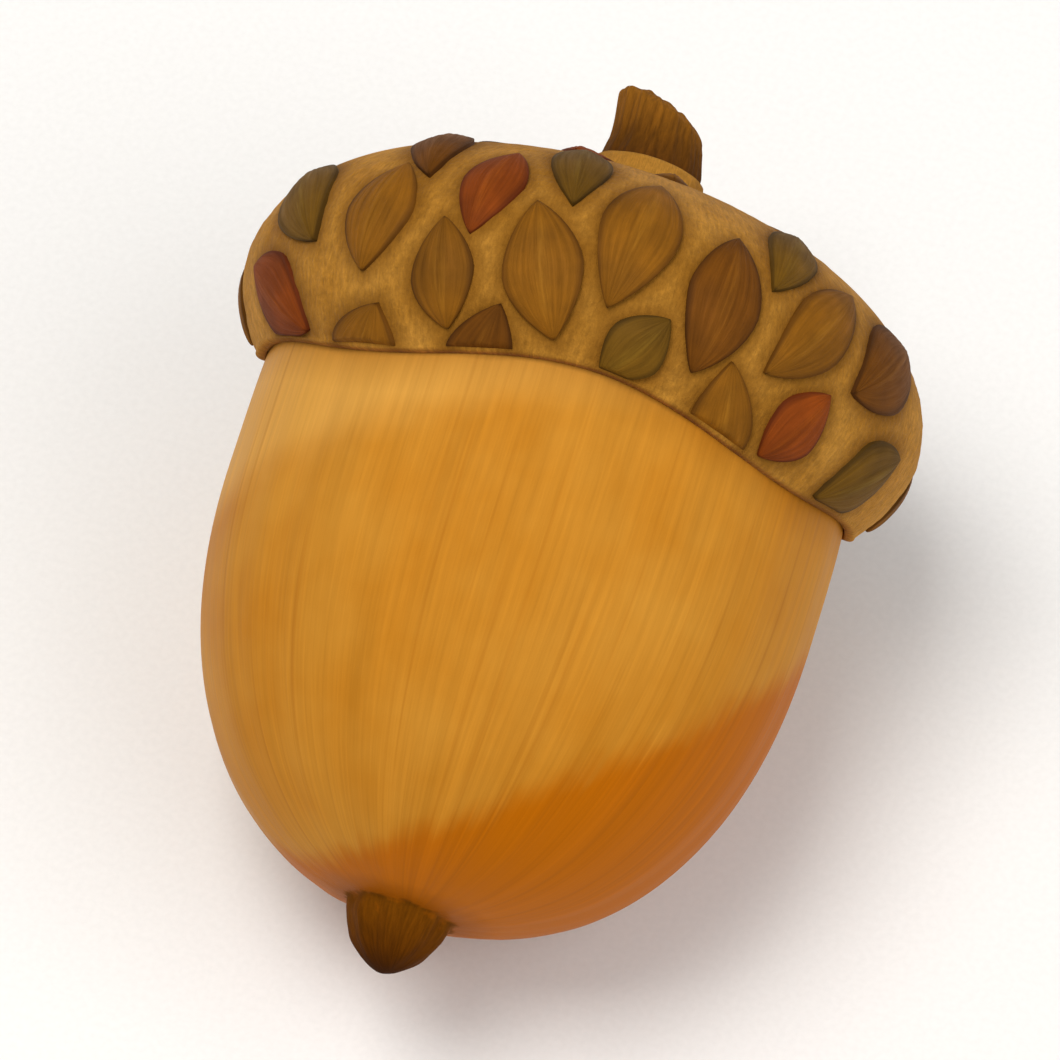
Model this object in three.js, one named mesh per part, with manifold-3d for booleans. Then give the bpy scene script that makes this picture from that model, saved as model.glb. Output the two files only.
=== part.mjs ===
// An acorn as picked, lying on its side: the nut in its scaly cap, with the stub of its stalk.
// Millimetres, +Z up. The nut's pointed tip looks along -Y, and the acorn lies on z = 0.

import * as THREE from 'three';
import { mergeVertices } from 'three/addons/utils/BufferGeometryUtils.js';
import Module from 'manifold-3d';

const { degToRad, clamp, lerp, smoothstep } = THREE.MathUtils;

// Until it is laid down, the acorn is built upright round the Y axis, with its tip at the bottom.
// All heights are measured from the cap's rim.

// The nut
const NUT_RADIUS = 11;
const NUT_GIRTH_Y = -4.05;
const NUT_BELLY_REACH = 14.17;
const NUT_BELLY_POWER = 2.25;
const NUT_CROWN_REACH = 12.5;
const NUT_CROWN_POWER = 3.4;
const NUT_TOP_Y = 7.2;
const TIP_RADIUS = 1.9;
const TIP_REACH = 2.3;
const TIP_POWER = 1.65;
const TIP_BEND = 0.34;
const TIP_BEND_START = 16;
const TIP_BEND_END = 19;

// The cap
const CAP_RADIUS = 12.76;
const CAP_GIRTH_Y = 3.31;
const DOME_REACH = 6.5;
const DOME_POWER = 2.14;
const LIP_REACH = 8.5;
const LIP_POWER = 1.75;
const RIM_ROUNDING = 0.3;
const NUT_CLEARANCE = 0.3;

// The rim isn't level: four low waves run round it, the deepest on the side that is shown, and its
// back runs a little higher than its front.
const SHOWN_SIDE = degToRad(8);
const WAVE_CREST = degToRad(11);
const WAVE_DEPTH = 1.05;
const WAVE_EVENNESS = 0.6;
const WAVE_TOP_Y = 7;
const BACK_RISE = 1.5;
const BACK_START = degToRad(86);
const BACK_END = degToRad(118);

// The collar on the cap, and the stalk that stands in it, broken off at a slant
const COLLAR_RADIUS = 2.1;
const COLLAR_FOOT_RADIUS = 3.4;
const COLLAR_TOP_Y = 11.1;
const SOCKET_RADIUS = 1.5;
const SOCKET_DEPTH = 1.4;
const STALK_BASE_RADIUS = 1.85;
const STALK_FLARE_RADIUS = 1.68;
const STALK_FLARE_Y = 12.1;
const STALK_RADIUS = 1.6;
const STALK_END_Y = 13.85;
const STALK_ROUNDING = 0.7;
const STALK_POWER = 2.4;
const STALK_SLANT = 0.35;
const STALK_CLEARANCE = 0.3;
const SWAY = 0.32;
const SWAY_START_Y = 9;
const SWAY_END_Y = 14;

// A scale of the cap: its proud edge and keel, and its root below the cap's surface
const SCALE_EDGE = 0.14;
const SCALE_KEEL = 0.36;
const SCALE_ROOT = 0.5;
const SCALE_POINTEDNESS = 1.7;
const SCALE_FULLNESS = 0.9;
const FREE_END_LIFT = 0.25;
const SCALE_STATIONS = 5;

// The scales on the side that is shown, each by where its middle lies: how far along the cap from the
// middle of its dome (mm), and how far round from the shown side (degrees). Then its length and width
// (mm), and how far its upper end leans to the right (degrees).
const SHOWN_SCALES = [
  { along: 10.9, round: -42, length: 6.0, width: 2.2, lean: -30 },
  { along: 13.4, round: -23, length: 4.2, width: 2.3, lean: 0 },
  { along: 11.0, round: -11, length: 5.6, width: 2.2, lean: -10 },
  { along: 11.7, round: 33, length: 5.6, width: 2.1, lean: 28 },
  { along: 14.2, round: -63, length: 5.6, width: 2.8, lean: -50 },
  { along: 14.9, round: -41, length: 3.9, width: 2.9, lean: 0 },
  { along: 14.0, round: 3, length: 6.3, width: 2.9, lean: 6 },
  { along: 15.3, round: 19, length: 5.4, width: 2.8, lean: 4 },
  { along: 14.5, round: 38, length: 5.8, width: 2.4, lean: 40 },
  { along: 14.1, round: 58, length: 5.6, width: 3.0, lean: 55 },
  { along: 17.8, round: -65, length: 4.6, width: 3.0, lean: -60 },
  { along: 19.5, round: -41, length: 3.7, width: 3.0, lean: 24 },
  { along: 16.8, round: -26, length: 3.7, width: 2.3, lean: -15 },
  { along: 19.4, round: -18, length: 3.7, width: 2.4, lean: 18 },
  { along: 16.3, round: -10, length: 5.1, width: 2.8, lean: -22 },
  { along: 18.1, round: 8, length: 3.2, width: 2.2, lean: 30 },
  { along: 19.0, round: 27.5, length: 4.4, width: 2.4, lean: -22 },
  { along: 17.6, round: 40, length: 3.2, width: 2.3, lean: 25 },
  { along: 17.8, round: 62, length: 4.2, width: 3.0, lean: 50 },
];

// The scales over the rest of the cap, scattered with a seeded draw
const SEED = 11;
const TRIALS = 900;
const ROOM_ALONG = 3.6;
const ROOM_ACROSS = 2.15;
const FIRST_ALONG = 4.9;
const LAST_ALONG = 19.2;
const ALONG_SPREAD = 0.7;
const SHOWN_FROM_ALONG = 6.1;
const SHOWN_HALF_ANGLE = degToRad(86);
const SHOWN_HALF_ANGLE_AT_RIM = degToRad(104);
const LENGTH_RANGE = [4.1, 5.5];
const SMALLEST_SHARE = 0.7;
const FULL_SIZE_ALONG = 8.5;
const SLENDERNESS_RANGE = [0.48, 0.58];
const LEAN_RANGE = degToRad(50);

// How the acorn lies: tilted until the nut's belly and the cap both touch down, on small worn flats
const LYING_TILT = degToRad(11.2);
const FLAT_DEPTH = 0.26;

// How finely the round bodies are divided
const SEGMENTS = 60;
const STALK_SEGMENTS = 20;
const TIP_STEPS = 6;
const BELLY_STEPS = 14;
const CROWN_STEPS = 7;
const DOME_STEPS = 10;
const LIP_STEPS = 7;
const COLLAR_STEPS = 4;
const STALK_END_STEPS = 5;
const CURVE_SAMPLES = 400;
const BELOW = 40;

// The draw's next number is the last one times a factor plus a step, within a range
const DRAW_FACTOR = 1664525;
const DRAW_STEP = 1013904223;
const DRAW_RANGE = 2 ** 32;

const wasm = await Module();
wasm.setup();

/** Radius of a rounded body at a share of its reach from its widest girth. */
function girth(radius, share, power) {
  return radius * (1 - share ** power) ** (1 / power);
}

/** The share of its reach at which a rounded body has narrowed to the given radius. */
function shareAt(radius, narrowed, power) {
  return (1 - (narrowed / radius) ** power) ** (1 / power);
}

/** Profile points of a rounded body from one share of its reach to another. */
function roundedProfile({ radius, power, girthY, reach }, from, to, steps) {
  const points = [];
  for (let step = 0; step <= steps; step += 1) {
    const angle = lerp(Math.asin(from), Math.asin(to), step / steps);
    const share = Math.sin(angle);
    points.push(new THREE.Vector2(girth(radius, share, power), girthY + reach * share));
  }
  return points;
}

const belly = { radius: NUT_RADIUS, power: NUT_BELLY_POWER, girthY: NUT_GIRTH_Y, reach: -NUT_BELLY_REACH };
const crown = { radius: NUT_RADIUS, power: NUT_CROWN_POWER, girthY: NUT_GIRTH_Y, reach: NUT_CROWN_REACH };
const dome = { radius: CAP_RADIUS, power: DOME_POWER, girthY: CAP_GIRTH_Y, reach: DOME_REACH };
const lip = { radius: CAP_RADIUS, power: LIP_POWER, girthY: CAP_GIRTH_Y, reach: -LIP_REACH };

/** A closed solid from a geometry, with its doubled points joined. */
function solid(geometry) {
  geometry.deleteAttribute('normal');
  geometry.deleteAttribute('uv');
  const merged = mergeVertices(geometry);
  const corners = merged.index.array;
  const triVerts = [];
  for (let at = 0; at < corners.length; at += 3) {
    const [a, b, c] = corners.slice(at, at + 3);
    if (a !== b && b !== c && c !== a) {
      triVerts.push(a, b, c);
    }
  }
  return new wasm.Manifold(new wasm.Mesh({
    numProp: 3,
    vertProperties: new Float32Array(merged.attributes.position.array),
    triVerts: new Uint32Array(triVerts),
  }));
}

/** The geometry of a closed solid. */
function geometryOf(body) {
  const mesh = body.getMesh();
  const geometry = new THREE.BufferGeometry();
  geometry.setAttribute('position', new THREE.BufferAttribute(new Float32Array(mesh.vertProperties), 3));
  geometry.setIndex(new THREE.BufferAttribute(new Uint32Array(mesh.triVerts), 1));
  return geometry;
}

/** Moves every point of a geometry by a rule that changes the point it is given. */
function reshape(geometry, move) {
  const positions = geometry.attributes.position;
  const point = new THREE.Vector3();
  for (let index = 0; index < positions.count; index += 1) {
    point.fromBufferAttribute(positions, index);
    move(point);
    positions.setXYZ(index, point.x, point.y, point.z);
  }
  return geometry;
}

/** Bends a point of the nut sideways where it nears the tip. */
function bendTip(point) {
  point.x -= TIP_BEND * smoothstep(-point.y, TIP_BEND_START, TIP_BEND_END);
}

/** How far a turn lies from the shown side, from 0 to half a circle. */
function turnedAway(round) {
  return Math.acos(Math.cos(round - SHOWN_SIDE));
}

/** Moves a point of the cap by the rim's waves and its raised back, which fade out on the way up. */
function wave(point) {
  const round = Math.atan2(point.x, point.z);
  const turn = round - WAVE_CREST;
  const depth = WAVE_DEPTH * Math.sin(2 * turn) ** 2 * lerp(Math.cos(turn), 1, WAVE_EVENNESS);
  const rise = BACK_RISE * smoothstep(turnedAway(round), BACK_START, BACK_END);
  point.y += (rise - depth) * (1 - smoothstep(point.y, 0, WAVE_TOP_Y));
}

/** Bows a point of the collar or the stalk sideways. */
function sway(point) {
  const share = clamp((point.y - SWAY_START_Y) / (SWAY_END_Y - SWAY_START_Y), 0, 1);
  point.x += SWAY * Math.sin(Math.PI * share);
}

/** Slants a point of the stalk, the more the nearer it is to the end. */
function slant(point) {
  const share = clamp((point.y - STALK_FLARE_Y) / (STALK_END_Y - STALK_ROUNDING - STALK_FLARE_Y), 0, 1);
  point.y -= STALK_SLANT * point.x * share;
}

/** The nut, grown in one piece with its pointed tip. */
function buildNut() {
  const tipBase = shareAt(NUT_RADIUS, TIP_RADIUS, NUT_BELLY_POWER);
  const tip = {
    radius: TIP_RADIUS,
    power: TIP_POWER,
    girthY: NUT_GIRTH_Y - NUT_BELLY_REACH * tipBase,
    reach: -TIP_REACH,
  };
  const topShare = (NUT_TOP_Y - NUT_GIRTH_Y) / NUT_CROWN_REACH;
  const profile = [
    ...roundedProfile(tip, 1, 0, TIP_STEPS).slice(0, -1),
    ...roundedProfile(belly, tipBase, 0, BELLY_STEPS),
    ...roundedProfile(crown, 0, topShare, CROWN_STEPS).slice(1),
    new THREE.Vector2(0, NUT_TOP_Y),
  ];
  return solid(reshape(new THREE.LatheGeometry(profile, SEGMENTS), bendTip));
}

/** The room that the cap leaves for the nut. */
function nutRoom() {
  const topShare = (NUT_TOP_Y - NUT_GIRTH_Y) / NUT_CROWN_REACH;
  const wall = roundedProfile(crown, 0, topShare, CROWN_STEPS);
  wall.forEach((point) => { point.x += NUT_CLEARANCE; });
  wall.at(-1).y += NUT_CLEARANCE;
  const profile = [
    new THREE.Vector2(0, NUT_GIRTH_Y),
    ...wall,
    new THREE.Vector2(0, NUT_TOP_Y + NUT_CLEARANCE),
  ];
  return solid(new THREE.LatheGeometry(profile, SEGMENTS));
}

/** The cap without its scales or its room for the nut. */
function capBody() {
  const rimShare = (CAP_GIRTH_Y - RIM_ROUNDING) / LIP_REACH;
  const rimRadius = girth(CAP_RADIUS, rimShare, LIP_POWER);
  const rimBevel = (1 - Math.SQRT1_2) * RIM_ROUNDING;
  const footShare = shareAt(CAP_RADIUS, COLLAR_FOOT_RADIUS, DOME_POWER);
  const foot = new THREE.Vector2(COLLAR_FOOT_RADIUS, CAP_GIRTH_Y + DOME_REACH * footShare);
  const collar = new THREE.QuadraticBezierCurve(
    foot,
    new THREE.Vector2(COLLAR_RADIUS, foot.y),
    new THREE.Vector2(COLLAR_RADIUS, COLLAR_TOP_Y),
  );
  const profile = [
    new THREE.Vector2(0, 0),
    new THREE.Vector2(rimRadius - RIM_ROUNDING, 0),
    new THREE.Vector2(rimRadius - rimBevel, rimBevel),
    ...roundedProfile(lip, rimShare, 0, LIP_STEPS),
    ...roundedProfile(dome, 0, footShare, DOME_STEPS).slice(1, -1),
    ...collar.getPoints(COLLAR_STEPS),
    new THREE.Vector2(SOCKET_RADIUS, COLLAR_TOP_Y),
    new THREE.Vector2(SOCKET_RADIUS, COLLAR_TOP_Y - SOCKET_DEPTH),
    new THREE.Vector2(0, COLLAR_TOP_Y - SOCKET_DEPTH),
  ];
  const geometry = new THREE.LatheGeometry(profile, SEGMENTS);
  reshape(geometry, wave);
  reshape(geometry, sway);
  return solid(geometry);
}

/** The space above the rim: what reaches below it is cut off. */
function aboveRim() {
  const wide = 2 * CAP_RADIUS;
  const profile = [
    new THREE.Vector2(0, 0),
    new THREE.Vector2(wide, 0),
    new THREE.Vector2(wide, wide),
    new THREE.Vector2(0, wide),
  ];
  return solid(reshape(new THREE.LatheGeometry(profile, SEGMENTS), wave));
}

// The cap's outline from the middle of its dome to its rim, with the length run so far at each point
const capCurve = [
  ...roundedProfile(dome, 1, 0, CURVE_SAMPLES),
  ...roundedProfile(lip, 0, CAP_GIRTH_Y / LIP_REACH, CURVE_SAMPLES).slice(1),
];
const capRun = [0];
for (let index = 1; index < capCurve.length; index += 1) {
  capRun.push(capRun[index - 1] + capCurve[index].distanceTo(capCurve[index - 1]));
}

/** The cap's outline at a distance along it: the point, and the way it runs there. */
function outlineAt(along) {
  let index = capRun.findIndex((run) => run >= along);
  index = index < 1 ? capCurve.length - 1 : index;
  const start = capCurve[index - 1];
  const way = capCurve[index].clone().sub(start).normalize();
  return { point: way.clone().multiplyScalar(along - capRun[index - 1]).add(start), way };
}

/** A point at a height over the cap's surface. */
function onCap(along, round, height) {
  const { point, way } = outlineAt(along);
  const radius = point.x - height * way.y;
  const place = new THREE.Vector3(
    radius * Math.sin(round),
    point.y + height * way.x,
    radius * Math.cos(round),
  );
  wave(place);
  return place;
}

/** One scale: a leaf-shaped plate with a keel, its root sunk in the cap. */
function buildScale({ along, round, length, width, lean }) {
  const points = [];
  const add = (share, side, height) => {
    const half = (width / 2) * (1 - Math.abs(share) ** SCALE_POINTEDNESS) ** SCALE_FULLNESS * side;
    const down = (share * length * Math.cos(lean)) / 2 + half * Math.sin(lean);
    const across = (-share * length * Math.sin(lean)) / 2 + half * Math.cos(lean);
    const radius = outlineAt(along + down).point.x;
    points.push(...onCap(along + down, round + across / radius, height).toArray());
    return points.length / 3 - 1;
  };
  const edgeTop = [];
  const edgeRoot = [];
  const last = SCALE_STATIONS;
  const edge = [];
  for (let station = 0; station <= last; station += 1) {
    edge.push([(2 * station) / last - 1, 1]);
  }
  for (let station = last - 1; station > 0; station -= 1) {
    edge.push([(2 * station) / last - 1, -1]);
  }
  edge.forEach(([share, side]) => {
    edgeTop.push(add(share, side, SCALE_EDGE));
    edgeRoot.push(add(share, side, -SCALE_ROOT));
  });
  const keel = [edgeTop[0]];
  for (let station = 1; station < last; station += 1) {
    const share = (2 * station) / last - 1;
    const rise = Math.sqrt(1 - share ** 2) * (1 + FREE_END_LIFT * share);
    keel.push(add(share, 0, SCALE_EDGE + (SCALE_KEEL - SCALE_EDGE) * rise));
  }
  keel.push(edgeTop[last]);
  const count = edge.length;
  const triangles = [];
  for (let at = 0; at < count; at += 1) {
    const next = (at + 1) % count;
    triangles.push(edgeTop[at], edgeRoot[next], edgeRoot[at]);
    triangles.push(edgeTop[at], edgeTop[next], edgeRoot[next]);
  }
  for (let at = 0; at < last; at += 1) {
    const left = (count - at) % count;
    const leftNext = count - at - 1;
    triangles.push(edgeTop[at], keel[at + 1], edgeTop[at + 1]);
    triangles.push(edgeTop[at], keel[at], keel[at + 1]);
    triangles.push(keel[at], edgeTop[leftNext], keel[at + 1]);
    triangles.push(keel[at], edgeTop[left], edgeTop[leftNext]);
    triangles.push(edgeRoot[at], edgeRoot[at + 1], edgeRoot[leftNext]);
    triangles.push(edgeRoot[at], edgeRoot[leftNext], edgeRoot[left]);
  }
  const geometry = new THREE.BufferGeometry();
  geometry.setAttribute('position', new THREE.Float32BufferAttribute(points, 3));
  geometry.setIndex(triangles);
  return solid(geometry);
}

let drawn = SEED;

/** The next seeded draw, from 0 to 1. */
function draw() {
  drawn = (drawn * DRAW_FACTOR + DRAW_STEP) % DRAW_RANGE;
  return drawn / DRAW_RANGE;
}

/** How far two scales lie apart, where 1 is just enough room. */
function roomBetween(one, other) {
  const across = 2 * Math.sqrt(one.radius * other.radius) * Math.sin((one.round - other.round) / 2);
  return Math.hypot((one.along - other.along) / ROOM_ALONG, across / ROOM_ACROSS);
}

/** True where the shown scales already cover the cap. */
function isShown({ along, round }) {
  const share = (along - SHOWN_FROM_ALONG) / (LAST_ALONG - SHOWN_FROM_ALONG);
  return share > 0 && turnedAway(round) < lerp(SHOWN_HALF_ANGLE, SHOWN_HALF_ANGLE_AT_RIM, share);
}

/** All scales: those of the shown side, then each next one where the most room is left. */
function placeScales() {
  const placed = SHOWN_SCALES.map((scale) => ({
    ...scale,
    round: SHOWN_SIDE + degToRad(scale.round),
    lean: degToRad(scale.lean),
    radius: outlineAt(scale.along).point.x,
  }));
  for (;;) {
    let best = { room: 0 };
    for (let trial = 0; trial < TRIALS; trial += 1) {
      const along = lerp(FIRST_ALONG, LAST_ALONG, draw() ** ALONG_SPREAD);
      const place = { along, round: 2 * Math.PI * draw(), radius: outlineAt(along).point.x };
      const room = isShown(place) ? 0 : Math.min(...placed.map((scale) => roomBetween(place, scale)));
      if (room > best.room) {
        best = { ...place, room };
      }
    }
    if (best.room < 1) {
      return placed;
    }
    // They grow smaller towards the stalk
    const share = lerp(SMALLEST_SHARE, 1, smoothstep(best.along, FIRST_ALONG, FULL_SIZE_ALONG));
    const length = share * lerp(...LENGTH_RANGE, draw());
    const width = length * lerp(...SLENDERNESS_RANGE, draw());
    placed.push({ ...best, length, width, lean: LEAN_RANGE * (draw() - 0.5) });
  }
}

/** The cap with its scales, hollow where the nut sits. */
function buildCap() {
  const scales = placeScales().map(buildScale);
  const coat = scales.reduce((joined, scale) => joined.add(scale));
  return capBody().add(coat.intersect(aboveRim())).subtract(nutRoom());
}

/** The stub of the stalk, with a foot that stands in the cap's socket. */
function buildStalk() {
  const footRadius = SOCKET_RADIUS - STALK_CLEARANCE;
  const footY = COLLAR_TOP_Y - SOCKET_DEPTH + STALK_CLEARANCE;
  const baseY = COLLAR_TOP_Y + STALK_CLEARANCE;
  const end = {
    radius: STALK_RADIUS,
    power: STALK_POWER,
    girthY: STALK_END_Y - STALK_ROUNDING,
    reach: STALK_ROUNDING,
  };
  const profile = [
    new THREE.Vector2(0, footY),
    new THREE.Vector2(footRadius, footY),
    new THREE.Vector2(footRadius, baseY),
    new THREE.Vector2(STALK_BASE_RADIUS, baseY),
    new THREE.Vector2(STALK_FLARE_RADIUS, STALK_FLARE_Y),
    ...roundedProfile(end, 0, 1, STALK_END_STEPS),
  ];
  const geometry = new THREE.LatheGeometry(profile, STALK_SEGMENTS);
  reshape(geometry, slant);
  reshape(geometry, sway);
  return solid(geometry);
}

/** Where the surface lies: a little over the nut's lowest point, so that the belly has its flat. */
function restingHeight(nut) {
  return nut.boundingBox().min[2] + FLAT_DEPTH;
}

/** Everything below the surface on which the acorn lies. */
function belowSurface(height) {
  const block = new THREE.BoxGeometry(2 * BELOW, 2 * BELOW, BELOW);
  block.translate(0, 0, height - BELOW / 2);
  return solid(block);
}

/** A solid laid on its side as the acorn lies. */
function laid(body) {
  return solid(geometryOf(body).rotateX(LYING_TILT));
}

const bodies = {
  nut: laid(buildNut()),
  cap: laid(buildCap()),
  stalk: laid(buildStalk()),
};
const finishes = {
  nut: { color: '#cb872f', roughness: 0.32, metalness: 0 },
  cap: { color: '#98662a', roughness: 0.8, metalness: 0 },
  stalk: { color: '#7f511c', roughness: 0.85, metalness: 0 },
};

const surface = restingHeight(bodies.nut);
const underground = belowSurface(surface);
const acorn = new THREE.Group();
Object.entries(bodies).forEach(([name, body]) => {
  const geometry = geometryOf(body.subtract(underground));
  geometry.translate(0, 0, -surface);
  const mesh = new THREE.Mesh(geometry, new THREE.MeshStandardMaterial(finishes[name]));
  mesh.name = name;
  acorn.add(mesh);
});

const middle = new THREE.Box3().setFromObject(acorn).getCenter(new THREE.Vector3());
acorn.children.forEach((mesh) => mesh.geometry.translate(-middle.x, -middle.y, 0));

export default acorn;
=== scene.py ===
"""An acorn as picked, lying on its side: a waxy nut in a felted cap with raised scales, and its stalk."""

import math

import bmesh
import bpy
import numpy as np
from mathutils import Matrix, Vector, kdtree, noise


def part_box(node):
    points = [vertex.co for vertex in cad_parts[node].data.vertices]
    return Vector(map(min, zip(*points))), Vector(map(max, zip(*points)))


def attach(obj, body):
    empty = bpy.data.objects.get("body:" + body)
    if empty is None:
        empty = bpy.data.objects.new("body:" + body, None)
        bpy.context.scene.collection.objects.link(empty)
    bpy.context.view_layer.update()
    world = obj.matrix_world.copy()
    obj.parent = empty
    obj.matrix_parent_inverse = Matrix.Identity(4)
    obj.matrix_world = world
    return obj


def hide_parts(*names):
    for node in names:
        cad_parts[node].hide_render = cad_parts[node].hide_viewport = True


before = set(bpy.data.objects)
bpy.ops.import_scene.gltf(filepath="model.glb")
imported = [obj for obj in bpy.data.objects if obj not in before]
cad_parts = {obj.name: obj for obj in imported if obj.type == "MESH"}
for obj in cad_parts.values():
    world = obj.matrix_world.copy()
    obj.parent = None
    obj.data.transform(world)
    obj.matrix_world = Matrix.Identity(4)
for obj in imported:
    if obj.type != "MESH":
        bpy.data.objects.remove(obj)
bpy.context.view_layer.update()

# The acorn's own frame, in millimetres: y runs from the pointed tip up to the stalk, with 0 at the
# cap's rim, and turns round that axis are measured from the side that faces up.
MM = 0.001

# The nut
NUT_RADIUS = 11
NUT_GIRTH_Y = -4.05
BELLY_REACH, BELLY_POWER = 14.17, 2.25
CROWN_REACH, CROWN_POWER = 12.5, 3.4
NUT_TOP_Y = 7.2
TIP_RADIUS, TIP_REACH, TIP_POWER = 1.9, 2.3, 1.65
TIP_BEND, TIP_BEND_START_Y, TIP_BEND_END_Y = 0.34, -16, -19

# Faint flats and lines down the nut's sides, in sets of so many round it
FLAT_COUNTS = (5, 7, 11, 16, 23, 31)
FLAT_HEIGHT, FLAT_DRIFT, FLAT_SEED = 0.05, 0.05, 5
SHELL_LUMP_HEIGHT = 0.035

# The folded skin of its tip
TIP_FOLDS, TIP_FOLD_HEIGHT, TIP_LUMP_HEIGHT = 9, 0.05, 0.09
TIP_SKIN_END_Y, TIP_SKIN_START_Y = -18.0, -17.2

# The cap
CAP_RADIUS = 12.76
CAP_GIRTH_Y = 3.31
DOME_REACH, DOME_POWER = 6.5, 2.14
LIP_REACH, LIP_POWER = 8.5, 1.75
RIM_ROUNDING = 0.16
RIM_GAP = 0.08
CROWN_GAP = 0.3
WAVE_CREST = math.radians(11)
WAVE_DEPTH = 1.05
WAVE_EVENNESS = 0.6
WAVE_TOP_Y = 7
BACK_RISE, BACK_START, BACK_END = 1.5, math.radians(86), math.radians(118)

# The cap's wall is uneven by lumps of three sizes: their height and width (mm) and seed
CAP_LUMPS = [(0.07, 2.2, 3), (0.04, 0.7, 4), (0.03, 0.33, 8)]

# The collar, and the stalk that is broken off at a slant
COLLAR_RADIUS = 2.1
COLLAR_FOOT_RADIUS = 3.4
COLLAR_TOP_Y = 11.1
COLLAR_BULGE, COLLAR_EDGE = 0.1, 0.25
STALK_BASE_RADIUS = 1.85
STALK_SUNK, STALK_BASE_HEIGHT = 0.3, 0.25
STALK_FLARE_RADIUS, STALK_FLARE_Y = 1.68, 12.1
STALK_RADIUS = 1.6
STALK_END_Y = 13.85
STALK_ROUNDING, STALK_POWER = 0.7, 2.4
STALK_SLANT = 0.35
SWAY, SWAY_START_Y, SWAY_END_Y = 0.32, 9, 14
BROAD_GROOVES, BROAD_GROOVE_DEPTH = 13, 0.05
FINE_GROOVES, FINE_GROOVE_DEPTH = 29, 0.03
STALK_LUMP_HEIGHT, BROKEN_END_HEIGHT = 0.06, 0.12

# A scale's edge and keel above the cap, and its root below it
SCALE_EDGE, SCALE_KEEL, SCALE_ROOT = 0.14, 0.36, 0.5
SCALE_POINTEDNESS, SCALE_FULLNESS = 1.7, 0.9
FREE_END_LIFT = 0.25
RIBS, RIB_HEIGHT = 7, 0.016

# A scale that comes nearer to the cap's rim than the first of these is cut off at the second (mm), along a
# plane that meets the rim this far to both sides of the scale's middle (radians)
NEAR_RIM, CUT_SHORT = 0.3, 0.12
CUT_HALF_TURN = 0.1

# How much further on each scale's marks start than those of the one before (mm), so that no two are alike
DOWN_STEP, ACROSS_STEP = 9, 7

# The painted shade on the cap round each scale: how high over the wall it starts and how far it reaches
# (mm)
SHADE_HEIGHT, SHADE_REACH = 0.1, 0.6

# The scales on the shown side: kind, how far along the cap from the middle of its dome and how far round
# from the shown side (mm, degrees), length and width (mm), and how far the upper end leans right (degrees).
SHOWN_SIDE = math.radians(8)
SHOWN_SCALES = [
    ("dark", 10.9, -42, 6.0, 2.2, -30),
    ("rust", 13.4, -23, 4.2, 2.3, 0),
    ("olive", 11.0, -11, 5.6, 2.2, -10),
    ("olive", 11.7, 33, 5.6, 2.1, 28),
    ("olive", 14.2, -63, 5.6, 2.8, -50),
    ("brown", 14.9, -41, 3.9, 2.9, 0),
    ("brown", 14.0, 3, 6.3, 2.9, 6),
    ("dark", 15.3, 19, 5.4, 2.8, 4),
    ("brown", 14.5, 38, 5.8, 2.4, 40),
    ("dark", 14.1, 58, 5.6, 3.0, 55),
    ("rust", 17.8, -65, 4.6, 3.0, -60),
    ("brown", 19.5, -41, 3.7, 3.0, 24),
    ("brown", 16.8, -26, 3.7, 2.3, -15),
    ("dark", 19.4, -18, 3.7, 2.4, 18),
    ("brown", 16.3, -10, 5.1, 2.8, -22),
    ("olive", 18.1, 8, 3.2, 2.2, 30),
    ("brown", 19.0, 27.5, 4.4, 2.4, -22),
    ("rust", 17.6, 40, 3.2, 2.3, 25),
    ("olive", 17.8, 62, 4.2, 3.0, 50),
]
KIND_SHARES = [("brown", 0.5), ("dark", 0.17), ("olive", 0.18), ("rust", 0.15)]

# The scales over the rest of the cap
SEED = 11
TRIALS = 900
ROOM_ALONG, ROOM_ACROSS = 3.6, 2.15
FIRST_ALONG, LAST_ALONG, ALONG_SPREAD = 4.9, 19.2, 0.7
SHOWN_FROM_ALONG = 6.1
SHOWN_HALF_ANGLE, SHOWN_HALF_ANGLE_AT_RIM = math.radians(86), math.radians(104)
LENGTH_RANGE = (4.1, 5.5)
SMALLEST_SHARE, FULL_SIZE_ALONG = 0.7, 8.5
SLENDERNESS_RANGE = (0.48, 0.58)
LEAN_RANGE = math.radians(50)

# How the acorn lies
LYING_TILT = math.radians(11.2)
FLAT_DEPTH = 0.26

# How finely the pieces are made: the distance of points along an outline (mm), and how many go round it
NUT_SPACING, NUT_SEGMENTS = 0.19, 240
CAP_SPACING, CAP_SEGMENTS = 0.15, 440
CAP_ROOM_SPACING = 0.8
STALK_SPACING, STALK_SEGMENTS = 0.07, 120
SCALE_ROWS, SCALE_COLUMNS, SCALE_EDGE_POINTS = 23, 21, 21


def lerp(start, end, share):
    return start + (end - start) * share


def smoothstep(value, low, high):
    share = np.clip((value - low) / (high - low), 0, 1)
    return share * share * (3 - 2 * share)


def girth(radius, share, power):
    """Radius of a rounded body at a share of its reach from its widest girth."""
    return radius * np.maximum(1 - share ** power, 0) ** (1 / power)


def share_at(radius, narrowed, power):
    """The share of its reach at which a rounded body has narrowed to this radius."""
    return (1 - (narrowed / radius) ** power) ** (1 / power)


def rounded(radius, power, girth_y, reach, start, end, steps):
    """Outline points (radius, y) of a rounded body from one share of its reach to another."""
    share = np.sin(np.linspace(math.asin(start), math.asin(end), steps + 1))
    return np.stack([girth(radius, share, power), girth_y + reach * share], 1)


def evenly(outline, spacing):
    """The same outline with its points an even distance apart."""
    run = np.r_[0, np.cumsum(np.hypot(*np.diff(outline, axis=0).T))]
    at = np.linspace(0, run[-1], max(2, round(run[-1] / spacing)) + 1)
    return np.stack([np.interp(at, run, outline[:, 0]), np.interp(at, run, outline[:, 1])], 1)


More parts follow.
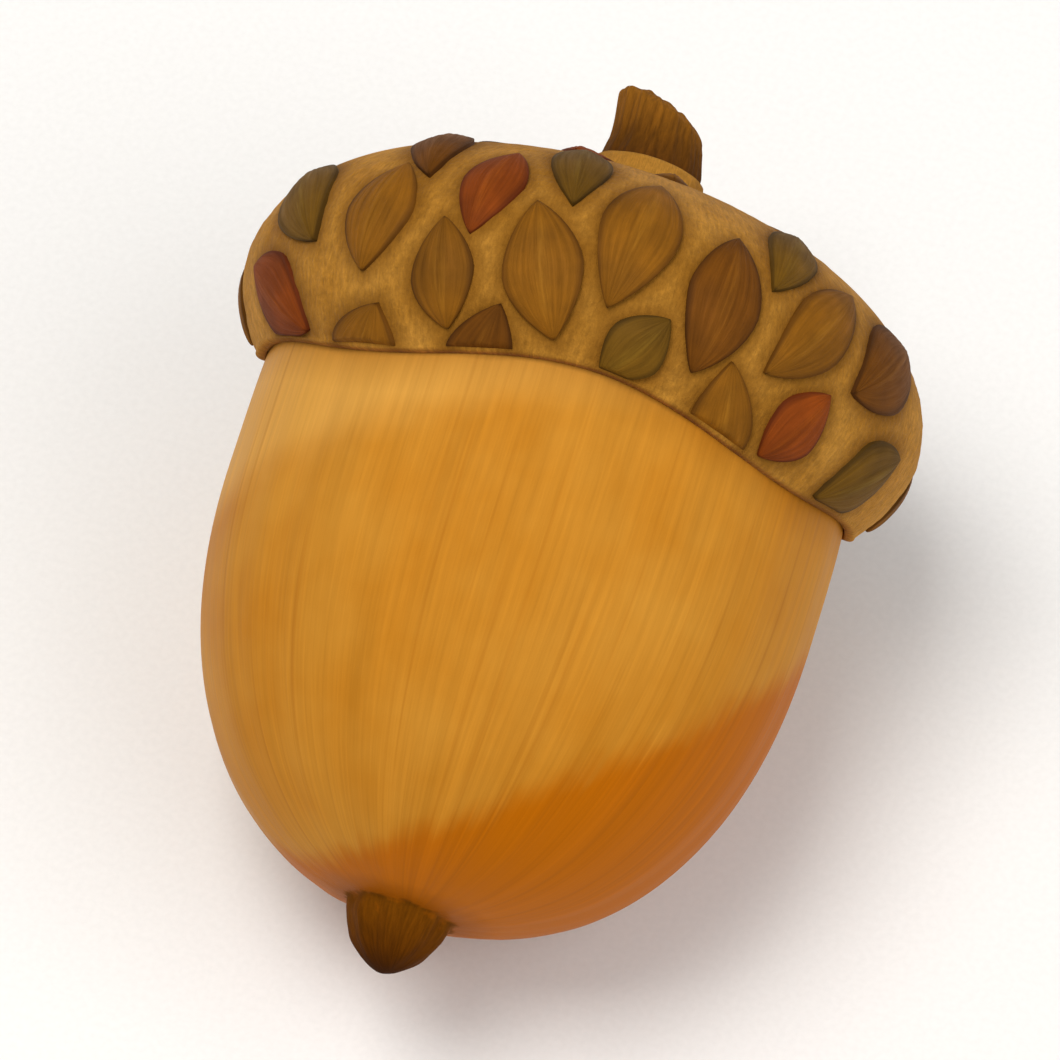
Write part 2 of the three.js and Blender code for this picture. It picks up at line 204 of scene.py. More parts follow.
def bend_tip(points):
    """Bends points of the nut sideways where it nears the tip."""
    points[:, 0] -= TIP_BEND * smoothstep(points[:, 1], TIP_BEND_START_Y, TIP_BEND_END_Y)
    return points


def turned_away(turn):
    """How far a turn lies from the shown side, from 0 to half a circle."""
    return np.arccos(np.cos(turn - SHOWN_SIDE))


def wave(points):
    """Moves points of the cap by its rim's waves and its raised back, which fade out on the way up."""
    turn = np.arctan2(points[:, 0], points[:, 2])
    crest = turn - WAVE_CREST
    depth = WAVE_DEPTH * np.sin(2 * crest) ** 2 * lerp(np.cos(crest), 1, WAVE_EVENNESS)
    rise = BACK_RISE * smoothstep(turned_away(turn), BACK_START, BACK_END)
    points[:, 1] += (rise - depth) * (1 - smoothstep(points[:, 1], 0, WAVE_TOP_Y))
    return points


def sway(points):
    """Bows points of the collar and the stalk sideways."""
    share = np.clip((points[:, 1] - SWAY_START_Y) / (SWAY_END_Y - SWAY_START_Y), 0, 1)
    points[:, 0] += SWAY * np.sin(math.pi * share)
    return points


def slant(points):
    """Slants points of the stalk, the more the nearer they are to its end."""
    share = np.clip((points[:, 1] - STALK_FLARE_Y) / (STALK_END_Y - STALK_ROUNDING - STALK_FLARE_Y), 0, 1)
    points[:, 1] -= STALK_SLANT * points[:, 0] * share
    return points


def laying():
    """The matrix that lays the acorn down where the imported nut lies."""
    outline = nut_outline()
    radius, height = outline[:, 0], outline[:, 1]
    lowest = np.min(height * math.sin(LYING_TILT) - radius * math.cos(LYING_TILT))
    foremost = np.min(height * math.cos(LYING_TILT) - radius * math.sin(LYING_TILT))
    low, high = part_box("nut")
    place = Vector(((low.x + high.x) / 2, low.y - foremost * MM, -(lowest + FLAT_DEPTH) * MM))
    return Matrix.Translation(place) @ Matrix.Rotation(LYING_TILT, 4, "X")


def nut_outline():
    """The nut from the end of its tip round its belly to the scar inside the cap."""
    tip_base = share_at(NUT_RADIUS, TIP_RADIUS, BELLY_POWER)
    tip_y = NUT_GIRTH_Y - BELLY_REACH * tip_base
    top = (NUT_TOP_Y - NUT_GIRTH_Y) / CROWN_REACH
    return np.concatenate([
        rounded(TIP_RADIUS, TIP_POWER, tip_y, -TIP_REACH, 1, 0, steps=40)[:-1],
        rounded(NUT_RADIUS, BELLY_POWER, NUT_GIRTH_Y, -BELLY_REACH, tip_base, 0, steps=160),
        rounded(NUT_RADIUS, CROWN_POWER, NUT_GIRTH_Y, CROWN_REACH, 0, top, steps=60)[1:],
        [[0, NUT_TOP_Y]],
    ])


def cap_outline():
    """The cap from the middle of its dome out and down to its rim."""
    return np.concatenate([
        rounded(CAP_RADIUS, DOME_POWER, CAP_GIRTH_Y, DOME_REACH, 1, 0, steps=400),
        rounded(CAP_RADIUS, LIP_POWER, CAP_GIRTH_Y, -LIP_REACH, 0, CAP_GIRTH_Y / LIP_REACH, steps=400)[1:],
    ])


CAP_CURVE = cap_outline()
CAP_RUN = np.r_[0, np.cumsum(np.hypot(*np.diff(CAP_CURVE, axis=0).T))]


def on_cap(along, turn, height):
    """Points at a height over the cap's surface, which runs straight on past the rim."""
    index = np.clip(np.searchsorted(CAP_RUN, along), 1, len(CAP_RUN) - 1)
    way = CAP_CURVE[index] - CAP_CURVE[index - 1]
    way /= np.hypot(way[:, 0], way[:, 1])[:, None]
    point = CAP_CURVE[index - 1] + way * (along - CAP_RUN[index - 1])[:, None]
    radius = point[:, 0] - height * way[:, 1]
    return wave(np.stack([
        radius * np.sin(turn), point[:, 1] + height * way[:, 0], radius * np.cos(turn)
    ], 1))


def radius_at(along):
    """The cap's radius this far along its outline."""
    index = np.clip(np.searchsorted(CAP_RUN, along), 1, len(CAP_RUN) - 1)
    share = (along - CAP_RUN[index - 1]) / (CAP_RUN[index] - CAP_RUN[index - 1])
    return lerp(CAP_CURVE[index - 1, 0], CAP_CURVE[index, 0], share)


class Draw:
    """Seeded draws from 0 to 1, by the same rule as in the CAD, so that both place the same scales."""

    def __init__(self, seed):
        self.state = seed

    def __call__(self):
        self.state = (self.state * 1664525 + 1013904223) % 4294967296
        return self.state / 4294967296


def place_scales():
    """All scales: those of the shown side, then each next one where the most room is left."""
    draw = Draw(SEED)
    placed = [
        dict(kind=kind, along=along, turn=SHOWN_SIDE + math.radians(turn), length=length, width=width,
             lean=math.radians(lean))
        for kind, along, turn, length, width, lean in SHOWN_SCALES
    ]
    shown = len(placed)
    spots = [(scale["along"], scale["turn"], float(radius_at(scale["along"]))) for scale in placed]
    while True:
        taken = np.array(spots)
        best, best_room = None, 0
        for _ in range(TRIALS):
            along = lerp(FIRST_ALONG, LAST_ALONG, draw() ** ALONG_SPREAD)
            turn = 2 * math.pi * draw()
            share = (along - SHOWN_FROM_ALONG) / (LAST_ALONG - SHOWN_FROM_ALONG)
            if share > 0 and turned_away(turn) < lerp(SHOWN_HALF_ANGLE, SHOWN_HALF_ANGLE_AT_RIM, share):
                continue
            radius = float(radius_at(along))
            across = 2 * np.sqrt(taken[:, 2] * radius) * np.sin((turn - taken[:, 1]) / 2)
            room = np.min(np.hypot((along - taken[:, 0]) / ROOM_ALONG, across / ROOM_ACROSS))
            if room > best_room:
                best, best_room = (along, turn, radius), room
        if best_room < 1:
            break
        # They grow smaller towards the stalk
        grown = lerp(SMALLEST_SHARE, 1, float(smoothstep(best[0], FIRST_ALONG, FULL_SIZE_ALONG)))
        length = grown * lerp(*LENGTH_RANGE, draw())
        width = length * lerp(*SLENDERNESS_RANGE, draw())
        lean = LEAN_RANGE * (draw() - 0.5)
        spots.append(best)
        placed.append(dict(along=best[0], turn=best[1], length=length, width=width, lean=lean))
    for scale in placed[shown:]:
        pick, total = draw(), 0
        for kind, share in KIND_SHARES:
            total += share
            if pick < total or kind == KIND_SHARES[-1][0]:
                scale["kind"] = kind
                break
    return placed


LAYING = laying()


def laid(points):
    """Points of the acorn laid down, with what would reach below the surface pressed flat on it."""
    lay = np.array(LAYING)
    world = points * MM @ lay[:3, :3].T + lay[:3, 3]
    world[:, 2] = np.maximum(world[:, 2], 0)
    return world


def piece(name, points, faces, material, replaced, attributes=None):
    """A piece of the acorn from points in its own frame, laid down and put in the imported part's place."""
    mesh = bpy.data.meshes.new(name)
    mesh.from_pydata(laid(points).tolist(), [], faces)
    mesh.update()
    for label, values in (attributes or {}).items():
        layer = mesh.attributes.new(label, "FLOAT", "POINT")
        layer.data.foreach_set("value", np.asarray(values, np.float32))
    mesh.shade_smooth()
    mesh.materials.append(material)
    obj = bpy.data.objects.new(name, mesh)
    bpy.context.scene.collection.objects.link(obj)
    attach(obj, "root")
    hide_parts(replaced)


def turned(outline, segments):
    """Points and faces of a round body whose outline starts and ends on its axis."""
    turns = np.arange(segments) * 2 * math.pi / segments
    inner = outline[1:-1]
    radius, height = inner[:, 0, None], np.repeat(inner[:, 1, None], segments, 1)
    points = np.stack([radius * np.sin(turns), height, radius * np.cos(turns)], 2).reshape(-1, 3)
    points = np.concatenate([points, [[0, outline[0, 1], 0], [0, outline[-1, 1], 0]]])
    faces = []
    for ring in range(len(inner) - 1):
        for at in range(segments):
            beside = (at + 1) % segments
            start, above = ring * segments, (ring + 1) * segments
            faces.append((start + at, start + beside, above + beside, above + at))
    first, last = len(points) - 2, len(points) - 1
    for at in range(segments):
        beside = (at + 1) % segments
        top = (len(inner) - 1) * segments
        faces.append((first, beside, at))
        faces.append((last, top + at, top + beside))
    return points, faces


def lumps(points, size, seed):
    """Smooth noise from -1 to 1 with lumps about this many millimetres across, elsewhere for each seed."""
    offset = Vector((seed * 7.3, seed * 3.1, seed * 5.7))
    return np.array([noise.noise(Vector(point) / size + offset) for point in points])


# Materials

def linear(colour):
    """A colour written as sRGB hex, in linear light."""
    parts = [int(colour[at:at + 2], 16) / 255 for at in (0, 2, 4)]
    return [*(part / 12.92 if part <= 0.04045 else ((part + 0.055) / 1.055) ** 2.4 for part in parts), 1]


def add(tree, kind, inputs=None, stops=None, **settings):
    """Adds a node with its settings, a value or a link for each input it names, and its ramp's stops,
    of which the two at the ramp's ends come first."""
    node = tree.nodes.new("ShaderNode" + kind)
    for name, value in settings.items():
        setattr(node, name, value)
    for socket, value in (inputs or {}).items():
        if isinstance(value, bpy.types.NodeSocket):
            tree.links.new(value, node.inputs[socket])
        else:
            node.inputs[socket].default_value = value
    for number, (position, colour) in enumerate(stops or []):
        elements = node.color_ramp.elements
        element = elements[number] if number < 2 else elements.new(position)
        element.position = position
        element.color = linear(colour)
    return node


def new_material(name):
    """A material of this name with an empty node tree."""
    material = bpy.data.materials.new(name)
    material.use_nodes = True
    tree = material.node_tree
    tree.nodes.clear()
    return material, tree


def own_place(tree):
    """Where a point lies in the acorn's own frame, in metres, with y along the acorn."""
    room = add(tree, "TexCoord").outputs["Object"]
    return add(tree, "Mapping", {0: room, 1: LAYING.translation, 2: (LYING_TILT, 0, 0)},
               vector_type="TEXTURE").outputs[0]


def mottle(tree, place, size, detail=3, roughness=0.5):
    """Noise with lumps about this many millimetres across."""
    return add(tree, "TexNoise", {
        "Vector": place, "Scale": 1 / (size * MM), "Detail": detail, "Roughness": roughness
    }).outputs[0]


def lengthwise(tree, place, width, run, detail=3, roughness=0.5):
    """Noise drawn out along the acorn: streaks this wide and long (mm), which meet at its two ends."""
    flat = add(tree, "VectorMath", {0: place, 1: (1, 0, 1)}, operation="MULTIPLY").outputs[0]
    facing = add(tree, "VectorMath", {0: flat}, operation="NORMALIZE").outputs[0]
    around = add(tree, "VectorMath", {0: facing, "Scale": NUT_RADIUS / width}, operation="SCALE").outputs[0]
    along = add(tree, "VectorMath", {0: place, 1: (0, 1 / (run * MM), 0)}, operation="MULTIPLY").outputs[0]
    drawn = add(tree, "VectorMath", {0: around, 1: along}, operation="ADD").outputs[0]
    return add(tree, "TexNoise", {
        "Vector": drawn, "Scale": 1, "Detail": detail, "Roughness": roughness
    }).outputs[0]


def stretch(tree, value, low, high, start=0.0, end=1.0):
    """A value's range from low to high, stretched to run from start to end."""
    return add(tree, "MapRange", {0: value, 1: low, 2: high, 3: start, 4: end}).outputs[0]


def times(tree, one, other):
    """Two values multiplied."""
    return add(tree, "Math", {0: one, 1: other}, operation="MULTIPLY").outputs[0]


def blend(tree, share, one, other):
    """A mix of two colours: the first at share 0, the other at share 1."""
    return add(tree, "MixRGB", {0: share, 1: one, 2: other}).outputs[0]


def toned(tree, colour, tone):
    """A colour made lighter or darker."""
    return add(tree, "MixRGB", {0: 1, 1: colour, 2: tone}, blend_type="MULTIPLY").outputs[0]


def mark(tree, name):
    """A value that the mesh holds for each of its points."""
    return add(tree, "Attribute", attribute_name=name).outputs["Fac"]


def side_share(tree, place, wander, facing, edge, softness):
    """How far a point lies towards one side of a soft slanting edge (mm), from 0 to 1."""
    across = add(tree, "VectorMath", {0: place, 1: facing}, operation="DOT_PRODUCT").outputs["Value"]
    ragged = add(tree, "Math", {0: across, 1: wander}, operation="ADD").outputs[0]
    return add(tree, "MapRange", {0: ragged, 1: (edge - softness) * MM, 2: (edge + softness) * MM},
               interpolation_type="SMOOTHSTEP").outputs[0]


# The two soft edges on the nut, of the painted highlight under the cap and of the painted shade on its
# lower side. Each has the way across it in the acorn's own frame, its place along that way (mm) and its
# softness (mm)
HIGHLIGHT_WAY, HIGHLIGHT_EDGE, HIGHLIGHT_SOFTNESS = (-0.38, 0.921, -0.086), -2.1, 1.3
SHADE_SIDE_WAY, SHADE_SIDE_EDGE, SHADE_SIDE_SOFTNESS = (-0.564, 0.725, 0.396), -9.8, 0.7

# How far clouds and streaks move those edges, and how wide the painted shade lies under the rim (mm)
CLOUD_WANDER, STREAK_WANDER = 0.4 * MM, 0.35 * MM
RIM_SHADE_WIDTH = 1.5

# Where the rough tip and the stain round it fade into the shell, measured out from the tip's middle (mm),
# and the heights over which the painted shade on the tip fades out
TIP_EDGE = (1.9, 2.15)
STAIN_EDGE = (2.1, 3.6)
TIP_DARK_Y, TIP_LIGHT_Y = -20.6, -18.3


def waxed_shell():
    """The nut's shell: hard smooth skin under natural wax. It gives a soft satin sheen, broken up by fine
    lengthwise lines. Its tan is painted lighter as a highlight under the cap, and darker as shade on its
    lower side."""
    material, tree = new_material("waxed_shell")
    place = own_place(tree)
    # Broad clouding 4 mm across, as the shell ripens unevenly
    clouds = mottle(tree, place, 4)
    wander = stretch(tree, clouds, 0.25, 0.75, -CLOUD_WANDER, CLOUD_WANDER)
    body = add(tree, "ValToRGB", {0: clouds}, stops=[(0.3, "b8761e"), (0.7, "c1842d")]).outputs[0]
    # Painted highlight: the upper side under the cap is painted lighter
    highlight_share = side_share(tree, place, wander, HIGHLIGHT_WAY, HIGHLIGHT_EDGE, HIGHLIGHT_SOFTNESS)
    highlighted = blend(tree, highlight_share, body, linear("cf9642"))
    # Painted shade: the lower side is painted darker. Broad soft streaks run down it, and feather that edge
    streaks = lengthwise(tree, place, 1.1, 16, 4, 0.6)
    streaked = stretch(tree, streaks, 0.3, 0.7, -STREAK_WANDER, STREAK_WANDER)
    feathered = add(tree, "Math", {0: wander, 1: streaked}, operation="ADD").outputs[0]
    shade_share = side_share(tree, place, feathered, SHADE_SIDE_WAY, SHADE_SIDE_EDGE, SHADE_SIDE_SOFTNESS)
    shaded = blend(tree, shade_share, linear("b26104"), highlighted)
    # Painted shade darkens it just under the cap's rim
    rim_shade_share = stretch(tree, mark(tree, "from_rim"), 0, RIM_SHADE_WIDTH, 0.5, 0)
    rim_shaded = blend(tree, rim_shade_share, shaded, linear("9c6216"))
    # Fine lines lie between the streaks. Real ones are about 0.1 mm wide, and these are drawn at twice
    # that so that they show
    lines = lengthwise(tree, place, 0.22, 7, 4, 0.65)
    streak_tone = stretch(tree, streaks, 0.3, 0.7, 0.94, 1.05)
    line_tone = stretch(tree, lines, 0.25, 0.75, 0.88, 1.1)
    lined = toned(tree, rim_shaded, times(tree, streak_tone, line_tone))
    # A few darker threads under the skin
    threads = stretch(tree, lengthwise(tree, place, 0.45, 26, 2), 0.6, 0.72, 0, 0.28)
    threaded = blend(tree, threads, lined, linear("8f4f0c"))
    # The shell is stained round the foot of its tip, and the tip is rough dead tissue, with painted shade
    # darkening it towards its end
    from_tip = mark(tree, "from_tip")
    rough_edge = stretch(tree, mottle(tree, place, 0.5), 0.3, 0.7, -0.16, 0.16)
    ragged = add(tree, "Math", {0: from_tip, 1: rough_edge}, operation="ADD").outputs[0]
    stain = stretch(tree, ragged, *STAIN_EDGE, 0.6, 0)
    stained = blend(tree, stain, threaded, linear("7d3f04"))
    height = add(tree, "SeparateXYZ", {0: place}).outputs[1]
    from_end = stretch(tree, height, TIP_DARK_Y * MM, TIP_LIGHT_Y * MM)
    tip = add(tree, "ValToRGB", {0: from_end}, stops=[
        (0, "280e02"), (1, "683a05"), (0.45, "552c03")
    ]).outputs[0]
    fibres = lengthwise(tree, place, 0.9, 0.9, 4, 0.7)
    fibrous = toned(tree, tip, stretch(tree, fibres, 0.3, 0.7, 0.7, 1.3))
    shell_share = stretch(tree, ragged, *TIP_EDGE)
    colour = blend(tree, shell_share, fibrous, stained)
    satin = stretch(tree, lines, 0.3, 0.7, 0.42, 0.54)
    rough = add(tree, "Mix", {0: shell_share, 2: 0.78, 3: satin}).outputs[0]
    relief = add(tree, "Mix", {0: shell_share, 2: times(tree, fibres, 6), 3: lines}).outputs[0]
    bump = add(tree, "Bump", {"Height": relief, "Strength": 0.25, "Distance": 0.05 * MM}).outputs[0]
    # The gloss is kept low and warm, or the pale floor would wash out its edges
    shader = add(tree, "BsdfPrincipled", {
        "Base Color": colour, "Roughness": rough, "Normal": bump, "IOR": 1.5, "Specular IOR Level": 0.05,
        "Specular Tint": linear("f0c080"),
    })
    add(tree, "OutputMaterial", {0: shader.outputs[0]})
    return material


def felted_wall():
    """The cap's wall: woody tissue under short dense down. It looks dry and soft, with no gloss, and has
    painted shade close round the scales."""
    material, tree = new_material("felted_wall")
    place = own_place(tree)
    clouds = mottle(tree, place, 2.2, 4)
    ground = add(tree, "ValToRGB", {0: clouds}, stops=[(0.3, "a26e22"), (0.7, "b98333")]).outputs[0]
    # The down's hairs are about 0.03 mm thick, and are drawn as tufts of 0.15 mm so that they show
    tufts = lengthwise(tree, place, 0.14, 0.42, 5, 0.7)
    specks = mottle(tree, place, 0.2, 4, 0.7)
    tuft_tone = stretch(tree, tufts, 0.25, 0.75, 0.66, 1.34)
    speck_tone = stretch(tree, specks, 0.25, 0.75, 0.8, 1.2)
    down = times(tree, tuft_tone, speck_tone)
    felted = toned(tree, ground, down)
    # Painted shade round each scale
    shade = stretch(tree, mark(tree, "near_scale"), 0, 1, 0, 0.72)
    colour = blend(tree, shade, felted, linear("70450c"))
    bump = add(tree, "Bump", {"Height": down, "Strength": 0.7, "Distance": 0.1 * MM}).outputs[0]
    shader = add(tree, "BsdfPrincipled", {
        "Base Color": colour, "Roughness": 0.88, "Normal": bump, "IOR": 1.45, "Specular IOR Level": 0.08,
        "Sheen Weight": 0.04, "Sheen Roughness": 0.4,
    })
    add(tree, "OutputMaterial", {0: shader.outputs[0]})
    return material


# Each kind of scale by the colours of its face, its edge and its keel, which is paler from wear and painted
# highlight
SCALE_COLOURS = {
    "brown": ("794b09", "533003", "885a14"),
    "dark": ("633804", "412201", "73460c"),
    "olive": ("62430a", "422c04", "6f5314"),
    "rust": ("7d3805", "552002", "8e480c"),
}


def dry_scale(kind):
    """A scale: a dry woody bract. It is ribbed lengthwise, paler on its keel from wear and painted
    highlight, dark along its edge, and dull, with a trace of gloss on the ribs."""
    material, tree = new_material("dry_scale_" + kind)
    face, edge, keel = SCALE_COLOURS[kind]
    spread = add(tree, "CombineXYZ", {0: mark(tree, "across"), 1: mark(tree, "down")}).outputs[0]
    # Ribs 0.2 mm apart that run the scale's whole length, and finer ones between them
    drawn = add(tree, "Mapping", {0: spread, 3: (5.2, 0.35, 1)}).outputs[0]
    ribs = add(tree, "TexNoise", {"Vector": drawn, "Scale": 1, "Detail": 5, "Roughness": 0.65}).outputs[0]
    # No two scales are quite alike in tone, since their marks start at different places
    each = add(tree, "TexNoise", {"Vector": spread, "Scale": 0.15, "Detail": 0}).outputs[0]
    blotches = mottle(tree, own_place(tree), 1.3, 4)
    own_tone = stretch(tree, each, 0.3, 0.7, 0.88, 1.12)
    blotch_tone = stretch(tree, blotches, 0.3, 0.7, 0.84, 1.16)
    rib_tone = stretch(tree, ribs, 0.3, 0.7, 0.76, 1.22)
    tone = times(tree, times(tree, own_tone, blotch_tone), rib_tone)
    rim = mark(tree, "edge")
    # The keel's paler tone on the rib crests is partly wear and partly painted highlight
    worn = times(tree, stretch(tree, rim, 0.3, 0, 0, 0.6), stretch(tree, ribs, 0.4, 0.6))
    keeled = blend(tree, worn, linear(face), linear(keel))
    edged = blend(tree, stretch(tree, rim, 0.78, 0.97, 0, 0.85), keeled, linear(edge))
    colour = toned(tree, edged, tone)
    rough = stretch(tree, ribs, 0.3, 0.7, 0.78, 0.6)
    bump = add(tree, "Bump", {"Height": ribs, "Strength": 0.7, "Distance": 0.09 * MM}).outputs[0]
    shader = add(tree, "BsdfPrincipled", {
        "Base Color": colour, "Roughness": rough, "Normal": bump, "IOR": 1.45, "Specular IOR Level": 0.12,
    })
    add(tree, "OutputMaterial", {0: shader.outputs[0]})
    return material


# The heights over which the painted shade at the stalk's foot fades out, towards its paler end
BARK_DARK_Y, BARK_LIGHT_Y = 10.9, 13.5


def stalk_wood():
    """The stalk: fibrous young wood in thin bark, dried brown. It is grooved lengthwise and matt, and
    painted darker towards its foot as shade, where it meets the cap."""
    material, tree = new_material("stalk_wood")
    place = own_place(tree)
    # Fibres 0.15 mm wide
    drawn = add(tree, "Mapping", {0: place, 3: (6500, 600, 6500)}).outputs[0]
    fibres = add(tree, "TexNoise", {"Vector": drawn, "Scale": 1, "Detail": 5, "Roughness": 0.65}).outputs[0]
    height = add(tree, "SeparateXYZ", {0: place}).outputs[1]
    # Painted shade: the bark is painted darker towards the foot of the stalk
    from_foot = stretch(tree, height, BARK_DARK_Y * MM, BARK_LIGHT_Y * MM)
    bark = add(tree, "ValToRGB", {0: from_foot}, stops=[
        (0, "4c2a04"), (1, "885614"), (0.5, "663d08")
    ]).outputs[0]
    fibre_tone = stretch(tree, fibres, 0.3, 0.7, 0.66, 1.32)
    blotch_tone = stretch(tree, mottle(tree, place, 0.9), 0.3, 0.7, 0.88, 1.12)
    colour = toned(tree, bark, times(tree, fibre_tone, blotch_tone))
    bump = add(tree, "Bump", {"Height": fibres, "Strength": 0.8, "Distance": 0.15 * MM}).outputs[0]
    shader = add(tree, "BsdfPrincipled", {
        "Base Color": colour, "Roughness": 0.8, "Normal": bump, "IOR": 1.45, "Specular IOR Level": 0.1,
    })
    add(tree, "OutputMaterial", {0: shader.outputs[0]})
    return material


def pale_card():
    """The floor: smooth matt card, nearly white, with a faint tooth."""
    material, tree = new_material("pale_card")
    place = add(tree, "TexCoord").outputs["Object"]
    tooth = add(tree, "TexNoise", {"Vector": place, "Scale": 4000, "Detail": 3}).outputs[0]
    colour = add(tree, "ValToRGB", {0: tooth}, stops=[(0.3, "ecebe9"), (0.7, "f0efed")]).outputs[0]
    shader = add(tree, "BsdfPrincipled", {"Base Color": colour, "Roughness": 0.9})
    add(tree, "OutputMaterial", {0: shader.outputs[0]})
    return material


# The pieces

def make_nut():
    """The nut, with faint flats down its sides and a folded skin round its tip."""
    points, faces = turned(evenly(nut_outline(), NUT_SPACING), NUT_SEGMENTS)
    radius = np.hypot(points[:, 0], points[:, 2])
    turn = np.arctan2(points[:, 0], points[:, 2])
    height = points[:, 1]
    draw = Draw(FLAT_SEED)
    flats = np.zeros(len(points))
    for count in FLAT_COUNTS:
        phase = 2 * math.pi * draw()
        drift = FLAT_DRIFT * (draw() - 0.5)
        flats += np.cos(count * turn + phase + drift * height) * (FLAT_HEIGHT / math.sqrt(count))
    # They fade out towards the tip and the nut's hidden end
    on_belly = smoothstep(radius, 1.5, 8)
    swell = flats * on_belly + SHELL_LUMP_HEIGHT * lumps(points, 5, 1) * on_belly
    on_tip = 1 - smoothstep(height, TIP_SKIN_END_Y, TIP_SKIN_START_Y)
    folds = TIP_FOLD_HEIGHT * np.cos(TIP_FOLDS * turn) * smoothstep(radius, 0.3, 1.5)
    swell += on_tip * (TIP_LUMP_HEIGHT * lumps(points, 0.7, 2) + folds)
    # The material reads how far each point lies from the tip's middle and from the cap's rim
    from_tip = np.where(height < TIP_BEND_START_Y, radius, NUT_RADIUS)
    from_rim = wave(points * [1, 0, 1])[:, 1] - height
    out = points / np.maximum(radius, 1e-6)[:, None] * [1, 0, 1]
    points += out * (swell * smoothstep(radius, 0.0, 0.6))[:, None]
    piece("nut_shell", bend_tip(points), faces, waxed_shell(), "nut",
          {"from_tip": from_tip, "from_rim": from_rim})


def cap_profile():
    """The cap's whole section: collar, dome and lip outside, and the room for the nut inside."""
    foot = share_at(CAP_RADIUS, COLLAR_FOOT_RADIUS, DOME_POWER)
    foot_y = CAP_GIRTH_Y + DOME_REACH * foot
    share = np.linspace(0, 1, 30)[:, None]
    start, bend, top = np.array([
        (COLLAR_FOOT_RADIUS, foot_y), (COLLAR_RADIUS, foot_y), (COLLAR_RADIUS, COLLAR_TOP_Y)
    ])
    collar = (1 - share) ** 2 * start + 2 * share * (1 - share) * bend + share ** 2 * top
    rim_share = (CAP_GIRTH_Y - RIM_ROUNDING) / LIP_REACH
    outside = np.concatenate([
        [[0, COLLAR_TOP_Y + COLLAR_BULGE], [COLLAR_RADIUS - COLLAR_EDGE, COLLAR_TOP_Y + COLLAR_BULGE]],
        collar[::-1],
        rounded(CAP_RADIUS, DOME_POWER, CAP_GIRTH_Y, DOME_REACH, foot, 0, steps=120)[1:],
        rounded(CAP_RADIUS, LIP_POWER, CAP_GIRTH_Y, -LIP_REACH, 0, rim_share, steps=60)[1:],
    ])
    bend = np.linspace(0, math.pi / 2, 6)[1:]
    nose_radius = outside[-1, 0] - RIM_ROUNDING + RIM_ROUNDING * np.cos(bend)
    nose = np.stack([nose_radius, RIM_ROUNDING * (1 - np.sin(bend))], 1)
    at_rim = -NUT_GIRTH_Y / CROWN_REACH
    at_top = (NUT_TOP_Y - NUT_GIRTH_Y) / CROWN_REACH
    inner_radius = girth(NUT_RADIUS, at_rim, CROWN_POWER) + RIM_GAP
    crown = rounded(NUT_RADIUS, CROWN_POWER, NUT_GIRTH_Y, CROWN_REACH, at_rim, at_top, steps=40)
    room = crown + [[RIM_GAP, 0]]
    inside = np.concatenate([[[inner_radius, 0]], room[2:], [[0, NUT_TOP_Y + CROWN_GAP]]])
    return outside, nose, inside


def make_cap(scales):
    """The cap's wall, a little uneven, with each point's nearness to a scale."""
    outside, nose, inside = cap_profile()
    outline = np.concatenate([evenly(outside, CAP_SPACING), nose, evenly(inside, CAP_ROOM_SPACING)])[::-1]
    points, faces = turned(outline, CAP_SEGMENTS)
    # Only the outside is uneven, and the room for the nut stays smooth
    outer = points[:, 1] > NUT_TOP_Y + 0.5
    outer |= np.hypot(points[:, 0], points[:, 2]) > NUT_RADIUS + 0.4
    points = sway(wave(points))
    radius = np.hypot(points[:, 0], points[:, 2])
    out = points * [1, 0, 1] / np.maximum(radius, 1e-6)[:, None]
    uneven = sum(height * lumps(points, width, seed) for height, width, seed in CAP_LUMPS)
    points += out * (uneven * outer * smoothstep(radius, 1, 3))[:, None]
    downs, both_sides = np.linspace(-1, 1, SCALE_EDGE_POINTS), np.array([-1.0, 1.0])
    edges = np.concatenate([scale_rows(scale, downs, both_sides, SHADE_HEIGHT)[0] for scale in scales])
    tree = kdtree.KDTree(len(edges))
    for number, edge in enumerate(edges):
        tree.insert(edge, number)
    tree.balance()
    gap = np.array([tree.find(point)[2] for point in points])
    near = np.exp(-(gap / SHADE_REACH) ** 2)
    piece("cap_wall", points, faces, felted_wall(), "cap", {"near_scale": near})


def scale_rows(scale, downs, acrosses, height):
    """Points over a scale's leaf shape: down its length and across it, each from -1 to 1."""
    down, across = np.meshgrid(downs, acrosses, indexing="ij")
    down, across = down.ravel(), across.ravel()
    half = scale["width"] / 2 * (1 - np.abs(down) ** SCALE_POINTEDNESS) ** SCALE_FULLNESS * across
    lean = scale["lean"]
    run = down * scale["length"] / 2 * math.cos(lean) + half * math.sin(lean)
    side = -down * scale["length"] / 2 * math.sin(lean) + half * math.cos(lean)
    along = scale["along"] + run
    turn = scale["turn"] + side / radius_at(along)
    return on_cap(along, turn, np.broadcast_to(height, along.shape)), down, across


